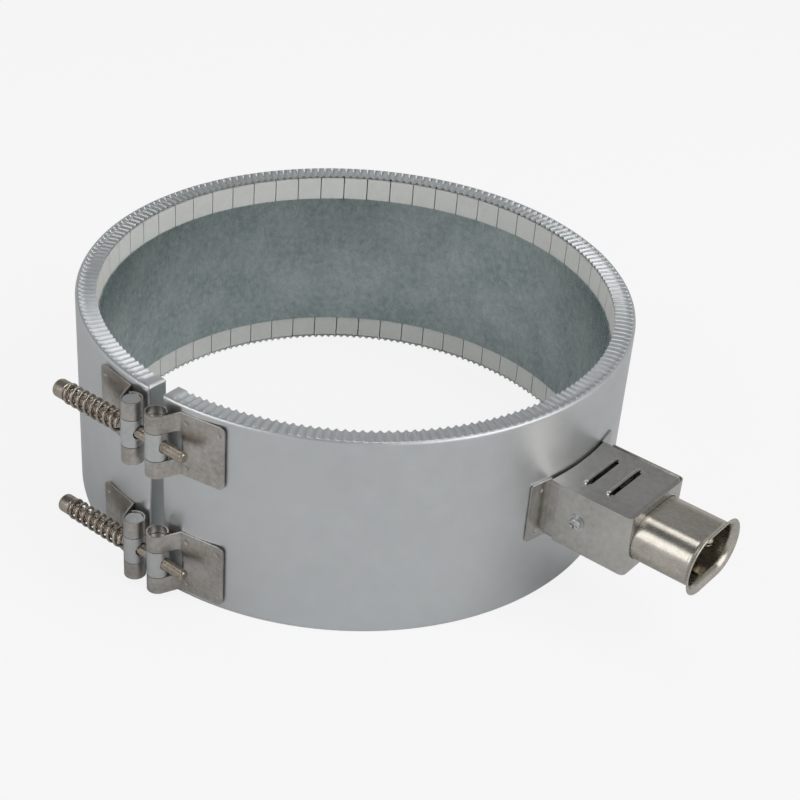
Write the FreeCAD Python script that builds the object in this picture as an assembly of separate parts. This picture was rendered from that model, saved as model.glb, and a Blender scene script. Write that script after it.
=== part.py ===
"""Ceramic band heater: a 240 mm bore, 100 mm wide heater band with two spring clamps
and a plug inlet on a terminal box.

Frame: +Z runs up the bore's axis, from an origin in the middle of the band's width.
The gap between the band's ends faces -Y, and the terminal box stands out along +X.
Each sub-part is written to parts/NAME.step. All lengths are in millimetres.
"""
import FreeCAD, Part

import math
import os

from FreeCAD import Vector

# ---------------------------------------------------------------- driving dimensions
# Band wall, from the bore outwards
bore_radius = 120.0
band_width = 100.0
gap_width = 7.6
seat_gap = 0.15            # air between curved pieces that lie on each other
liner_thickness = 0.5
liner_margin = 13.5        # tile left bare above and below the liner
tile_depth = 6.4
tile_spacing = 12.1
tile_joint = 0.5
tile_end_gap = 0.4
blanket_thickness = 2.65
blanket_chamfer = 0.8
sheath_thickness = 0.5

# Crimped rims of the sheath
rim_lip_inset = 0.9        # from the bore's face out to the rim's inner edge
pleat_spacing = 3.86
pleat_depth = 1.2
rim_corner = 2.4
rim_land = 5.5             # plain stretch beside each end of the band

# Heating coil, which runs up and down in slots behind the tiles
coil_diameter = 2.6
coil_slot_clearance = 0.3
tile_shoulder = 5.0        # channel behind each tile's ends, for the coil's turns

# Strips that feed the coil, let into the blanket
strip_thickness = 0.8
bus_width = 2.8
bus_sink = 1.0             # from the blanket's outer face in to the strips
bus_clearance = 0.2
strip_seat = 0.1
feed_width = 5.0
feed_offset = 3.0          # from the box's middle to a feed strip

# Clamps: sheet lugs rolled round a barrel, drawn together by a sprung screw
clamp_inset = 19.0         # from each rim to a clamp's screw
lug_height = 31.0
lug_thickness = 0.7
lug_plate_length = 22.0
lug_contact = 22.0         # along the band, from the middle of the gap to where a plate touches it
lug_reach = 15.0           # from there to the plate's far edge
lug_corner = 2.5
lug_stand_off = 0.15
lug_window = 14.0
lug_window_corner = 3.0
weld_radius = 1.3
weld_depth = 0.3
weld_edge = 3.0
loop_radius = 4.9
loop_offset = 7.25         # from the middle of the gap to a loop's axis
loop_stand_off = 1.6       # from the sheath to a loop's back
loop_wrap = 308.0
journal_fit = 0.05         # radial, between a barrel's ends and the ears
waist_clearance = 0.3      # between a barrel's full middle and the ears' edges
left_barrel_length = 30.0
right_barrel_length = 23.0
barrel_countersink = 0.7
screw_diameter = 5.0
screw_length = 71.0
screw_head_diameter = 8.5
screw_head_length = 6.5
screw_socket = 4.0
screw_socket_depth = 3.5
screw_edge = 0.7
cross_width = 0.9
cross_depth = 1.0
barrel_thread_fit = 0.05
barrel_clearance = 0.6
spring_length = 34.4
spring_diameter = 9.6
spring_wire = 1.5
spring_turns = 8.5
spring_seat = 0.2

# Terminal box
box_width = 43.0
box_height = 30.0
box_reach = 41.5           # from the sheath to the box's front
box_sheet = 0.8
box_corner = 2.6
box_fit = 0.15             # between the box's folded pieces
box_inset = 0.4            # from the cover's edges in to the channel's faces
box_stand_off = 4.5        # from the sheath to the cover's back edges
ear_reach = 21.0
flange_length = 11.0
flange_corner = 1.5
channel_stand_off = 1.3    # from the sheath to the channel's hollowed back edges
cover_screw_reach = 15.3
cover_screw_diameter = 3.0
cover_screw_head = 5.6
cover_screw_head_height = 1.8
cover_screw_length = 6.0
washer_diameter = 7.6
washer_thickness = 0.5
vent_length = 22.5
vent_radius = 2.1
vent_rise = 1.3
vent_first = 18.0          # from the box's front to the first vent
vent_step = 11.5
lead_hole_radius = 7.5

# Plug inlet
shell_side_margin = 2.5    # from the shell to the box's sides
shell_top_margin = 3.7     # from the shell to the box's top and bottom
shell_wall = 0.8
shell_length = 29.8        # from the box's front to the mouth
shell_flare = 2.9
shell_flare_length = 4.0
shell_base_flange = 1.2
shell_hole_fit = 0.25
insulator_length = 10.7
insulator_proud = 4.5      # from the box's front to the insulator's
insulator_fit = 0.15
pin_spacing = 16.0
pin_diameter = 5.4
pin_length = 24.5          # from the box's front to the pins' tips
pin_slot = 0.8
pin_slot_depth = 5.0
stud_diameter = 4.0
stud_length = 6.0          # behind the insulator
nut_flats = 7.0
nut_thickness = 3.0
earth_width = 6.0
earth_thickness = 0.6
earth_bow = 1.2

# ---------------------------------------------------------------- worked-out sizes
liner_outer = bore_radius + liner_thickness
tile_inner = liner_outer + seat_gap
tile_outer = tile_inner + tile_depth
blanket_inner = tile_outer + seat_gap
blanket_outer = blanket_inner + blanket_thickness
sheath_inner = blanket_outer + seat_gap
sheath_outer = sheath_inner + sheath_thickness
rim_inner = bore_radius + rim_lip_inset
band_top = band_width / 2
gap_angle = math.degrees(gap_width / 2 / sheath_outer)
tile_top = band_top - pleat_depth - sheath_thickness - tile_end_gap
turn_height = tile_top - tile_shoulder / 2
coil_radius = tile_outer - coil_slot_clearance - coil_diameter / 2
strip_outer = blanket_outer - bus_sink
strip_inner = strip_outer - strip_thickness
clamp_heights = {"upper": band_top - clamp_inset, "lower": clamp_inset - band_top}
loop_line = sheath_outer + loop_stand_off + loop_radius
loop_inner = loop_radius - lug_thickness
journal_radius = loop_inner - journal_fit
spring_back = loop_offset + loop_radius + spring_seat
screw_seat = spring_back + spring_length + spring_seat
box_front = sheath_outer + box_reach
channel_front = box_front - box_sheet - box_fit
channel_rise = box_height / 2 - box_inset
ear_face = box_width / 2 - box_sheet - box_fit
cover_screw_line = sheath_outer + cover_screw_reach
shell_width = box_width - 2 * shell_side_margin
shell_height = box_height - 2 * shell_top_margin
shell_radius = shell_height / 2
shell_middle = shell_width - shell_height
insulator_front = box_front + insulator_proud
insulator_back = insulator_front - insulator_length


# ---------------------------------------------------------------- small helpers
def polar(radius, degrees, height=0.0):
    """Point at a radius and an angle about the bore's axis."""
    turn = math.radians(degrees)
    return Vector(radius * math.cos(turn), radius * math.sin(turn), height)


def tube_arc(inner, outer, height, start, end, base=0.0):
    """Wall between two radii, over part of a turn."""
    section = Part.makePolygon([
        Vector(inner, 0, base), Vector(outer, 0, base),
        Vector(outer, 0, base + height), Vector(inner, 0, base + height), Vector(inner, 0, base)])
    section.rotate(Vector(), Vector(0, 0, 1), start)
    return Part.Face(section).revolve(Vector(), Vector(0, 0, 1), end - start)


def box_between(low, high):
    """Box from its lowest corner to its highest."""
    return Part.makeBox(high[0] - low[0], high[1] - low[1], high[2] - low[2], Vector(*low))


def rod_along(axis, radius, start, end):
    """Round bar from one point on an axis to another: start and end are vectors."""
    return Part.makeCylinder(radius, end.sub(start).Length, start, axis)


def hexagon_bar(flats, length, start, axis):
    """Hexagonal bar of a width over its flats."""
    corner = flats / 2 / math.cos(math.radians(30))
    points = [Vector(corner * math.cos(math.radians(60 * k)), corner * math.sin(math.radians(60 * k)), 0)
              for k in range(7)]
    bar = Part.Face(Part.makePolygon(points)).extrude(Vector(0, 0, length))
    bar.Placement = FreeCAD.Placement(start, FreeCAD.Rotation(Vector(0, 0, 1), axis))
    return bar


def facets(points):
    """One flat face through the points, or a fan of triangles where they aren't in one plane."""
    if len(points) == 3:
        return [Part.Face(Part.makePolygon(points + points[:1]))]
    normal = points[1].sub(points[0]).cross(points[2].sub(points[0])).normalize()
    if all(abs(normal.dot(p.sub(points[0]))) < 1e-7 for p in points[3:]):
        return [Part.Face(Part.makePolygon(points + points[:1]))]
    return facets(points[:3]) + facets([points[0]] + points[2:])


def closed_solid(faces):
    """Solid inside faces that meet edge to edge."""
    shell = Part.makeShell(faces)
    shell.sewShape()
    solid = Part.makeSolid(shell)
    if solid.Volume < 0:
        solid.reverse()
    return solid


def group(shapes):
    """Separate solids in one node."""
    return Part.makeCompound(shapes)


def export(shape, name):
    """Write one sub-part."""
    shape.exportStep("parts/" + name + ".step")


# ---------------------------------------------------------------- sheath
def pleat_lines():
    """Angles of the rim's ridges, and of the valley between each ridge and the next."""
    start = -90 + gap_angle
    land = math.degrees(rim_land / sheath_outer)
    span = 360 - 2 * gap_angle - 2 * land
    count = round(math.radians(span) * sheath_outer / pleat_spacing)
    step = span / count
    ridges = [start + land + k * step for k in range(count + 1)]
    valleys = [angle + step / 2 for angle in ridges[:-1]]
    return [start] + ridges + [270 - gap_angle], [None] + valleys + [None]


def rim_profile(angle, depth, wall, side):
    """Points of a rim on one line, from its lip to its shoulder: side is 1 above and -1 below.

    Each line runs towards one point on the axis, so the sides of a pleat are flat.
    """
    shoulder = sheath_outer - rim_corner
    crest = band_top - wall
    lip = polar(rim_inner, angle, side * (crest - depth * rim_inner / shoulder))
    return [lip, polar(shoulder, angle, side * (crest - depth))]


def rim_corner_point(angle, depth, side):
    """Point on the rounded corner between a rim and the wall."""
    drop = max(depth, rim_corner * (1 - math.sqrt(0.5)))
    return polar(sheath_outer - rim_corner * (1 - math.sqrt(0.5)), angle, side * (band_top - drop))


def pleat_faces(here, after, valley, wall, side):
    """Faces of one pleat's rim and corner, between two ridges: here and after are their angles."""
    foot = side * (band_top - rim_corner)
    ridges = [rim_profile(angle, 0.0, wall, side) for angle in (here, after)]
    feet = [polar(sheath_outer - wall, angle, foot) for angle in (here, after)]
    if wall:
        corners = [[], []]
    else:
        corners = [[rim_corner_point(angle, 0.0, side)] for angle in (here, after)]
    if valley is None:
        strips = [ridges[0] + corners[0] + [feet[0]], ridges[1] + corners[1] + [feet[1]]]
        return strip_faces(strips[0], strips[1])
    middle = rim_profile(valley, pleat_depth, wall, side)
    if not wall:
        middle.append(rim_corner_point(valley, pleat_depth, side))
    faces = strip_faces(ridges[0] + corners[0], middle) + strip_faces(middle, ridges[1] + corners[1])
    last = [(ridges[k] + corners[k])[-1] for k in range(2)]
    faces += facets([last[0], feet[0], middle[-1]])
    faces += facets([middle[-1], feet[1], last[1]])
    return faces + facets([feet[0], feet[1], middle[-1]])


def strip_faces(here, after):
    """Faces between two lines of the same number of points."""
    faces = []
    for k in range(len(here) - 1):
        faces += facets([here[k], here[k + 1], after[k + 1], after[k]])
    return faces


def lip_line(here, after, valley, wall, side):
    """Points along a rim's lip, from one ridge to the next."""
    points = [rim_profile(angle, 0.0, wall, side)[0] for angle in (here, after)]
    if valley is not None:
        points.insert(1, rim_profile(valley, pleat_depth, wall, side)[0])
    return points


def end_outline(angle, wall):
    """Outline of a closed end, from the upper rim's lip round to the lower one's."""
    upper = rim_profile(angle, 0.0, wall, 1)
    if not wall:
        upper.append(rim_corner_point(angle, 0.0, 1))
    upper.append(polar(sheath_outer - wall, angle, band_top - rim_corner))
    return upper + [Vector(p.x, p.y, -p.z) for p in reversed(upper)]


def sheath():
    """One folded sheet: wall, two pleated rims and a closed end each side of the gap."""
    ridges, valleys = pleat_lines()
    plate = math.degrees(sheath_thickness / sheath_outer)
    inner_ridges = [ridges[0] + plate] + ridges[1:-1] + [ridges[-1] - plate]
    faces = []
    for k, valley in enumerate(valleys):
        for wall, angles in ((0.0, ridges), (sheath_thickness, inner_ridges)):
            radius = sheath_outer - wall
            foot = band_top - rim_corner
            faces += facets([polar(radius, angles[k], -foot), polar(radius, angles[k + 1], -foot),
                             polar(radius, angles[k + 1], foot), polar(radius, angles[k], foot)])
            for side in (1, -1):
                faces += pleat_faces(angles[k], angles[k + 1], valley, wall, side)
        for side in (1, -1):
            outer_lip = lip_line(ridges[k], ridges[k + 1], valley, 0.0, side)
            inner_lip = lip_line(inner_ridges[k], inner_ridges[k + 1], valley, sheath_thickness, side)
            faces += strip_faces(outer_lip, inner_lip)
    for outer_angle, inner_angle in ((ridges[0], inner_ridges[0]), (ridges[-1], inner_ridges[-1])):
        outside = end_outline(outer_angle, 0.0)
        inside = end_outline(inner_angle, sheath_thickness)
        faces += facets(outside) + facets(inside)
        faces += facets([outside[0], inside[0], inside[-1], outside[-1]])
    body = closed_solid(faces)
    hole = rod_along(Vector(1, 0, 0), lead_hole_radius, Vector(strip_inner, 0, 0), Vector(box_front, 0, 0))
    return body.cut(hole)


# ---------------------------------------------------------------- what the sheath holds
def tile_angles():
    """Angles of the tile columns, and the angle from one to the next.

    Their number is odd, so that the coil starts at the upper rim and ends at the lower one.
    """
    end = math.degrees(2 * sheath_thickness / tile_inner)
    first = -90 + gap_angle + end
    span = 360 - 2 * gap_angle - 2 * end
    count = 2 * round((math.radians(span) * tile_inner / tile_spacing - 1) / 2) + 1
    return [first + span * (k + 0.5) / count for k in range(count)], span / count


def ceramic_tile(width):
    """One tile column, with the coil's slot in its back and a shoulder at each end."""
    back = math.sqrt(tile_outer ** 2 - (width / 2) ** 2)
    slot = coil_diameter + 2 * coil_slot_clearance
    floor = coil_radius - slot / 2
    tile = box_between((tile_inner, -width / 2, -tile_top), (back, width / 2, tile_top))
    tile = tile.cut(box_between((floor, -slot / 2, -band_top), (tile_outer, slot / 2, band_top)))
    for base in (-tile_top, tile_top - tile_shoulder):
        tile = tile.cut(box_between((floor, -width, base), (tile_outer, width, base + tile_shoulder)))
    return tile


def ceramic_tiles():
    """All the tile columns."""
    angles, step = tile_angles()
    tile = ceramic_tile(math.radians(step) * tile_inner - tile_joint)
    return group([tile.copy().rotate(Vector(), Vector(0, 0, 1), angle) for angle in angles])


def coil_tail(end, spare):
    """Tail of the coil out to a bus strip, or its way through the blanket with some room to spare."""
    half = coil_diameter / 2 + spare
    level = turn_height if end == "first" else -turn_height
    angle = tile_angles()[0][0 if end == "first" else -1]
    tail = box_between((coil_radius, -half, level - half), (strip_inner - strip_seat + spare, half, level + half))
    return tail.rotate(Vector(), Vector(0, 0, 1), angle)


def heating_coil():
    """The coiled wire as its outer form: legs in the tiles' slots, joined at one end and the other."""
    angles, _ = tile_angles()
    half = coil_diameter / 2
    solids = [coil_tail("first", 0.0), coil_tail("last", 0.0)]
    for k, angle in enumerate(angles):
        leg = box_between((coil_radius - half, -half, -turn_height - half),
                          (coil_radius + half, half, turn_height + half))
        solids.append(leg.rotate(Vector(), Vector(0, 0, 1), angle))
    for k in range(1, len(angles)):
        level = -turn_height if k % 2 else turn_height
        spread = math.radians(angles[k] - angles[k - 1]) / 2
        reach = coil_radius * math.cos(spread)
        run = coil_radius * math.sin(spread)
        turn = box_between((reach - half, -run, level - half), (reach + half, run, level + half))
        solids.append(turn.rotate(Vector(), Vector(0, 0, 1), (angles[k - 1] + angles[k]) / 2))
    return solids[0].fuse(solids[1:]).removeSplitter()


def bus_strip(level, start, end):
    """Strip let into the blanket at one rim, from a coil tail beside the gap to a feed strip."""
    return tube_arc(strip_inner, strip_outer, bus_width, start, end, level - bus_width / 2)


def feed_strip():
    """Strip on the +Y side, from a pin's stud in through the bushing and down to the lower bus."""
    middle = pin_spacing / 2
    half = feed_width / 2
    tab = box_between((insulator_back - strip_thickness, feed_offset, -half), (insulator_back, middle + half, half))
    leg = box_between((strip_inner, feed_offset, -half), (insulator_back, feed_offset + strip_thickness, half))
    drop = box_between((strip_inner, feed_offset, -turn_height - bus_width / 2),
                       (strip_outer, feed_offset + bus_width, half))
    hole = rod_along(Vector(1, 0, 0), stud_diameter / 2 + insulator_fit,
                     Vector(insulator_back - 2 * strip_thickness, middle, 0), Vector(insulator_front, middle, 0))
    return tab.fuse([leg, drop]).removeSplitter().cut(hole)


def insulation_blanket():
    """Fibre blanket behind the tiles, with channels in its back for the strips."""
    start = -90 + 2 * gap_angle
    end = 270 - 2 * gap_angle
    blanket = tube_arc(blanket_inner, blanket_outer, 2 * tile_top, start, end, -tile_top)
    rims = [e for e in blanket.Edges if e.Length > 4 * blanket_outer and abs(e.BoundBox.XMax - blanket_outer) < 1e-3]
    blanket = blanket.makeChamfer(blanket_chamfer, rims)
    floor = strip_inner - strip_seat
    high = bus_width / 2 + bus_clearance
    for level in (turn_height, -turn_height):
        blanket = blanket.cut(tube_arc(floor, sheath_outer, 2 * high, start - 1, end + 1, level - high))
    wide = feed_offset + bus_width + bus_clearance
    blanket = blanket.cut(box_between((floor, -wide, -turn_height - high), (sheath_outer, wide, turn_height + high)))
    for tail in ("first", "last"):
        blanket = blanket.cut(coil_tail(tail, bus_clearance))
    return blanket


def inner_liner():
    """Plain strip that bears on the barrel."""
    half = band_top - liner_margin
    return tube_arc(bore_radius, liner_outer, 2 * half, -90 + gap_angle, 270 - gap_angle, -half)


# ---------------------------------------------------------------- clamps
def line_crossing(point, along, other, other_along):
    """Where two lines in plan cross."""
    det = along.x * other_along.y - along.y * other_along.x
    gap = other.sub(point)
    run = (gap.x * other_along.y - gap.y * other_along.x) / det
    return point.add(Vector(along.x * run, along.y * run, 0))


def clamp_lug():
    """Lug on the +X side of the gap, with its middle at z = 0: plate, neck and two rolled ears."""
    turn = lug_contact / sheath_outer
    out = Vector(math.sin(turn), -math.cos(turn), 0)
    along = Vector(math.cos(turn), math.sin(turn), 0)
    half = lug_plate_length / 2
    back = out * (sheath_outer + lug_stand_off) + along * (lug_reach - half)
    front = back.add(out * lug_thickness)
    loop = Vector(loop_offset, -loop_line, 0)
    bend = front.sub(along * half)
    reach = bend.sub(loop)
    meets = math.atan2(reach.y, reach.x) - math.acos(loop_radius / reach.Length)
    leaves = meets - math.radians(loop_wrap)

    def on_loop(radius, angle):
        return loop.add(Vector(radius * math.cos(angle), radius * math.sin(angle), 0))

    middle = (meets + leaves) / 2
    touch = on_loop(loop_radius, meets)
    touch_inside = on_loop(loop_inner, meets)
    neck = touch.sub(bend)
    bend_inside = line_crossing(touch_inside, neck, back, along)
    edges = [
        Part.makeLine(front.add(along * half), bend),
        Part.makeLine(bend, touch),
        Part.Arc(touch, on_loop(loop_radius, middle), on_loop(loop_radius, leaves)).toShape(),
        Part.makeLine(on_loop(loop_radius, leaves), on_loop(loop_inner, leaves)),
        Part.Arc(on_loop(loop_inner, leaves), on_loop(loop_inner, middle), touch_inside).toShape(),
        Part.makeLine(touch_inside, bend_inside),
        Part.makeLine(bend_inside, back.add(along * half)),
        Part.makeLine(back.add(along * half), front.add(along * half)),
    ]
    sheet = Part.Face(Part.Wire(edges)).extrude(Vector(0, 0, lug_height))
    sheet.translate(Vector(0, 0, -lug_height / 2))

    window = box_between((loop_offset - 2 * loop_radius, -loop_line - 2 * loop_radius, -lug_window / 2),
                         (bend.x + lug_window_corner / 2, bend.y + lug_thickness, lug_window / 2))
    inner_edges = [e for e in window.Edges
                   if abs(e.CenterOfMass.x - bend.x - lug_window_corner / 2) < 1e-6
                   and abs(e.CenterOfMass.z) > lug_window / 4]
    sheet = sheet.cut(window.makeFillet(lug_window_corner, inner_edges))
    far = back.add(along * half)
    corner_edges = [e for e in sheet.Edges
                    if abs(abs(e.CenterOfMass.z) - lug_height / 2) < 1e-6
                    and e.CenterOfMass.sub(far).dot(along) > -lug_thickness
                    and e.Length < 2 * lug_thickness]
    sheet = sheet.makeFillet(lug_corner, corner_edges)
    cap = (weld_radius ** 2 + weld_depth ** 2) / (2 * weld_depth)
    for side in (-1, 1):
        for level in (-1, 1):
            spot = front.add(along * (side * (half - weld_edge)))
            spot.z = level * (lug_height / 2 - weld_edge - weld_radius)
            sheet = sheet.cut(Part.makeSphere(cap, spot.add(out * (cap - weld_depth))))
    return sheet


def clamp_barrel(side, length, clearance):
    """Barrel in a lug's ears: full middle, turned-down ends, cross-drilled for the screw."""
    up = Vector(0, 0, 1)
    waist = lug_window - 2 * waist_clearance
    middle = Vector(side * loop_offset, -loop_line, 0)
    journals = rod_along(up, journal_radius, middle.sub(up * (length / 2)), middle.add(up * (length / 2)))
    journals = journals.makeChamfer(screw_edge / 2, [e for e in journals.Edges if len(e.Vertexes) == 1])
    barrel = journals.fuse(rod_along(up, loop_radius, middle.sub(up * (waist / 2)), middle.add(up * (waist / 2))))
    radius = screw_diameter / 2 + clearance
    start = middle.sub(Vector(2 * loop_radius, 0, 0))
    barrel = barrel.cut(Part.makeCylinder(radius, 4 * loop_radius, start, Vector(1, 0, 0)))
    for face in (-1, 1):
        mouth = middle.add(Vector(face * loop_radius, 0, 0))
        barrel = barrel.cut(Part.makeCone(radius + barrel_countersink, radius, barrel_countersink, mouth,
                                          Vector(-face, 0, 0)))
    return barrel


def clamp_screw():
    """Socket screw from beyond the spring, through both barrels."""
    along = Vector(1, 0, 0)
    seat = Vector(-screw_seat, -loop_line, 0)
    tip = seat.add(along * screw_length)
    top = seat.sub(along * screw_head_length)
    shank = rod_along(along, screw_diameter / 2, seat, tip)
    shank = shank.makeChamfer(screw_edge, [e for e in shank.Edges if abs(e.CenterOfMass.x - tip.x) < 1e-6])
    head = rod_along(along, screw_head_diameter / 2, top, seat)
    head = head.makeFillet(screw_edge, [e for e in head.Edges if abs(e.CenterOfMass.x - top.x) < 1e-6])
    socket = hexagon_bar(screw_socket, screw_socket_depth, top, along)
    return head.fuse(shank).removeSplitter().cut(socket)


def compression_spring():
    """Coil spring between the screw's head and the left barrel, its wire in short straight steps."""
    steps = 12
    sides = 6
    mean = (spring_diameter - spring_wire) / 2
    rise = (spring_length - spring_wire) / (spring_turns * steps)
    lead = math.atan2(rise * steps, 2 * math.pi * mean)
    rings = []
    for k in range(int(spring_turns * steps) + 1):
        turn = 2 * math.pi * k / steps
        spoke = Vector(0, math.cos(turn), math.sin(turn))
        across = Vector(math.cos(lead), math.sin(turn) * math.sin(lead), -math.cos(turn) * math.sin(lead))
        centre = Vector(-spring_back - spring_wire / 2 - k * rise, -loop_line, 0).add(spoke * mean)
        ring = []
        for j in range(sides):
            corner = 2 * math.pi * (j + 0.5) / sides
            ring.append(centre.add(spoke * (spring_wire / 2 * math.cos(corner)))
                        .add(across * (spring_wire / 2 * math.sin(corner))))
        rings.append(ring)
    faces = facets(rings[0]) + facets(rings[-1])
    for here, after in zip(rings, rings[1:]):
        for j in range(sides):
            n = (j + 1) % sides
            faces += facets([here[j], here[n], after[n], after[j]])
    return closed_solid(faces)


# ---------------------------------------------------------------- terminal box
def stadium(length, height, x, depth):
    """Bar along the +X axis with flat top and bottom and half-round sides, from its back face at x."""
    radius = height / 2
    half = length / 2 - radius
    edges = [
        Part.makeLine(Vector(x, -half, -radius), Vector(x, half, -radius)),
        Part.Arc(Vector(x, half, -radius), Vector(x, half + radius, 0), Vector(x, half, radius)).toShape(),
        Part.makeLine(Vector(x, half, radius), Vector(x, -half, radius)),
        Part.Arc(Vector(x, -half, radius), Vector(x, -half - radius, 0), Vector(x, -half, -radius)).toShape(),
    ]
    return Part.Face(Part.Wire(edges)).extrude(Vector(depth, 0, 0))


def terminal_bracket():
    """Bracket on the +Y side: a flange welded to the sheath and an ear inside the cover."""
    turn = math.asin((ear_face + flange_length / 2) / sheath_outer)
    out = Vector(math.cos(turn), math.sin(turn), 0)
    along = Vector(-math.sin(turn), math.cos(turn), 0)
    back = out * (sheath_outer + lug_stand_off)
    front = back.add(out * box_sheet)
    half = flange_length / 2
    tip = sheath_outer + ear_reach
    forward = Vector(1, 0, 0)
    outer_face = Vector(tip, ear_face, 0)
    inner_face = Vector(tip, ear_face - box_sheet, 0)
    bend = line_crossing(front, along, outer_face, forward)
    heel = line_crossing(back, along, inner_face, forward)
    outline = [back.add(along * half), heel, inner_face, outer_face, bend, front.add(along * half)]
    bracket = Part.Face(Part.makePolygon(outline + outline[:1])).extrude(Vector(0, 0, box_height))
    bracket.translate(Vector(0, 0, -box_height / 2))
    high = channel_rise - box_sheet - box_fit
    for side in (1, -1):
        levels = sorted((side * high, side * box_height))
        bracket = bracket.cut(box_between((bend.x + box_fit, 0, levels[0]), (tip + 1, ear_face + 1, levels[1])))
    corners = [e for e in bracket.Edges
               if e.Length < 2 * box_sheet and abs(e.CenterOfMass.z) > box_height / 2 - 1e-6
               and e.CenterOfMass.y > ear_face + flange_length / 2]
    bracket = bracket.makeFillet(flange_corner, corners)
    cap = (weld_radius ** 2 + weld_depth ** 2) / (2 * weld_depth)
    for level in (-1, 1):
        spot = front.add(out * (cap - weld_depth))
        spot.z = level * (box_height / 2 - weld_edge - weld_radius)
        bracket = bracket.cut(Part.makeSphere(cap, spot))
    return bracket.cut(rod_along(Vector(0, 1, 0), cover_screw_diameter / 2, Vector(cover_screw_line, 0, 0),
                                 Vector(cover_screw_line, box_width, 0)))


def folded_strip(start, low, high, corner, axis):
    """U of sheet from start to high.x, open at its back and along one axis, with round folds."""
    blank = box_between((start, low[0], low[1]), (high[0], high[1], high[2]))
    room = [box_sheet, box_sheet]
    room["yz".index(axis)] = -1
    hollow = box_between((start - 1, low[0] + room[0], low[1] + room[1]),
                         (high[0] - box_sheet, high[1] - room[0], high[2] - room[1]))
    shapes = []
    for solid, front, radius in ((blank, high[0], corner), (hollow, high[0] - box_sheet, corner - box_sheet)):
        folds = [e for e in solid.Edges
                 if abs(e.CenterOfMass.x - front) < 1e-6 and abs(e.tangentAt(0).dot(Vector(
                     0, axis == "y", axis == "z"))) > 0.9]
        shapes.append(solid.makeFillet(radius, folds))
    return shapes[0].cut(shapes[1])


def upright_block(start, front, half_width, corner):
    """Block with its two front upright edges rounded."""
    block = box_between((start, -half_width, -box_height), (front, half_width, box_height))
    edges = [e for e in block.Edges if abs(e.CenterOfMass.x - front) < 1e-6 and abs(e.CenterOfMass.z) < 1e-6]
    return block.makeFillet(corner, edges)


def terminal_cover():
    """Cover folded from one strip: two sides and a front with round upright corners."""
    low = (-box_width / 2, -box_height / 2)
    cover = folded_strip(sheath_outer + box_stand_off, low, (box_front, -low[0], -low[1]), box_corner, "z")
    holes = rod_along(Vector(0, 1, 0), cover_screw_diameter / 2 + box_fit, Vector(cover_screw_line, -box_width, 0),
                      Vector(cover_screw_line, box_width, 0))
    return cover.cut(shell_opening()).cut(holes)


def louvre(line, level, up):
    """Pressed hood of one vent across a face of the channel, and what opens its mouth."""
    start = Vector(line, -vent_length / 2, level + up * (vent_rise - vent_radius))
    hood = Part.makeCylinder(vent_radius, vent_length, start, Vector(0, 1, 0))
    hollow = Part.makeCylinder(vent_radius - box_sheet / 2, vent_length, start, Vector(0, 1, 0))
    for end in (start, start.add(Vector(0, vent_length, 0))):
        hood = hood.fuse(Part.makeSphere(vent_radius, end))
        hollow = hollow.fuse(Part.makeSphere(vent_radius - box_sheet / 2, end))
    reach = vent_length
    levels = sorted((level, level + up * reach))
    above = box_between((line - reach, -reach, levels[0]), (line + reach, reach, levels[1]))
    mouth = box_between((line + vent_radius / 3, -reach, levels[0]), (line + reach, reach, levels[1]))
    return hood.common(above).cut(hollow), mouth


def shell_opening():
    """What the plug shell passes through in the box's two fronts."""
    room = 2 * shell_hole_fit
    return stadium(shell_width + room, shell_height + room, channel_front - 2 * box_sheet, 5 * box_sheet)


def terminal_channel():
    """Channel folded from one strip: top, front and bottom, vented above and below."""
    low = (-ear_face, -channel_rise)
    channel = folded_strip(sheath_inner, low, (channel_front, ear_face, channel_rise), box_corner / 2, "y")
    channel = channel.common(upright_block(sheath_inner, channel_front, ear_face, box_corner - box_sheet))
    channel = channel.cut(Part.makeCylinder(sheath_outer + channel_stand_off, band_width, Vector(0, 0, -band_top)))
    for up in (1, -1):
        level = up * channel_rise
        for k in range(2):
            line = box_front - vent_first - k * vent_step
            hood, mouth = louvre(line, level, up)
            slot = box_between((line, -vent_length / 2, level - 2 * box_sheet),
                               (line + vent_radius, vent_length / 2, level + 2 * box_sheet))
            channel = channel.cut(slot).fuse(hood.cut(mouth))
    return channel.cut(shell_opening()).removeSplitter()


def cover_screw():
    """Pan-head screw on the +Y side, through the cover into the bracket's ear."""
    face = Vector(cover_screw_line, box_width / 2 + washer_thickness, 0)
    shank = Part.makeCylinder(cover_screw_diameter / 2 - barrel_thread_fit, cover_screw_length, face, Vector(0, -1, 0))
    head = Part.makeCylinder(cover_screw_head / 2, cover_screw_head_height, face, Vector(0, 1, 0))
    top = face.y + cover_screw_head_height
    rim = [e for e in head.Edges if abs(e.CenterOfMass.y - top) < 1e-6]
    screw = head.makeFillet(cover_screw_head_height / 2, rim).fuse(shank).removeSplitter()
    half = cross_width / 2
    arm = cover_screw_head / 2 - cover_screw_head_height / 2
    for reach, width in ((arm, half), (half, arm)):
        screw = screw.cut(box_between((face.x - reach, top - cross_depth, -width),
                                      (face.x + reach, top + 1, width)))
    return screw


def cover_washer():
    """Washer under a cover screw."""
    face = Vector(cover_screw_line, box_width / 2, 0)
    ring = Part.makeCylinder(washer_diameter / 2, washer_thickness, face, Vector(0, 1, 0))
    return ring.cut(Part.makeCylinder(cover_screw_diameter / 2 + box_fit, washer_thickness, face, Vector(0, 1, 0)))


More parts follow.
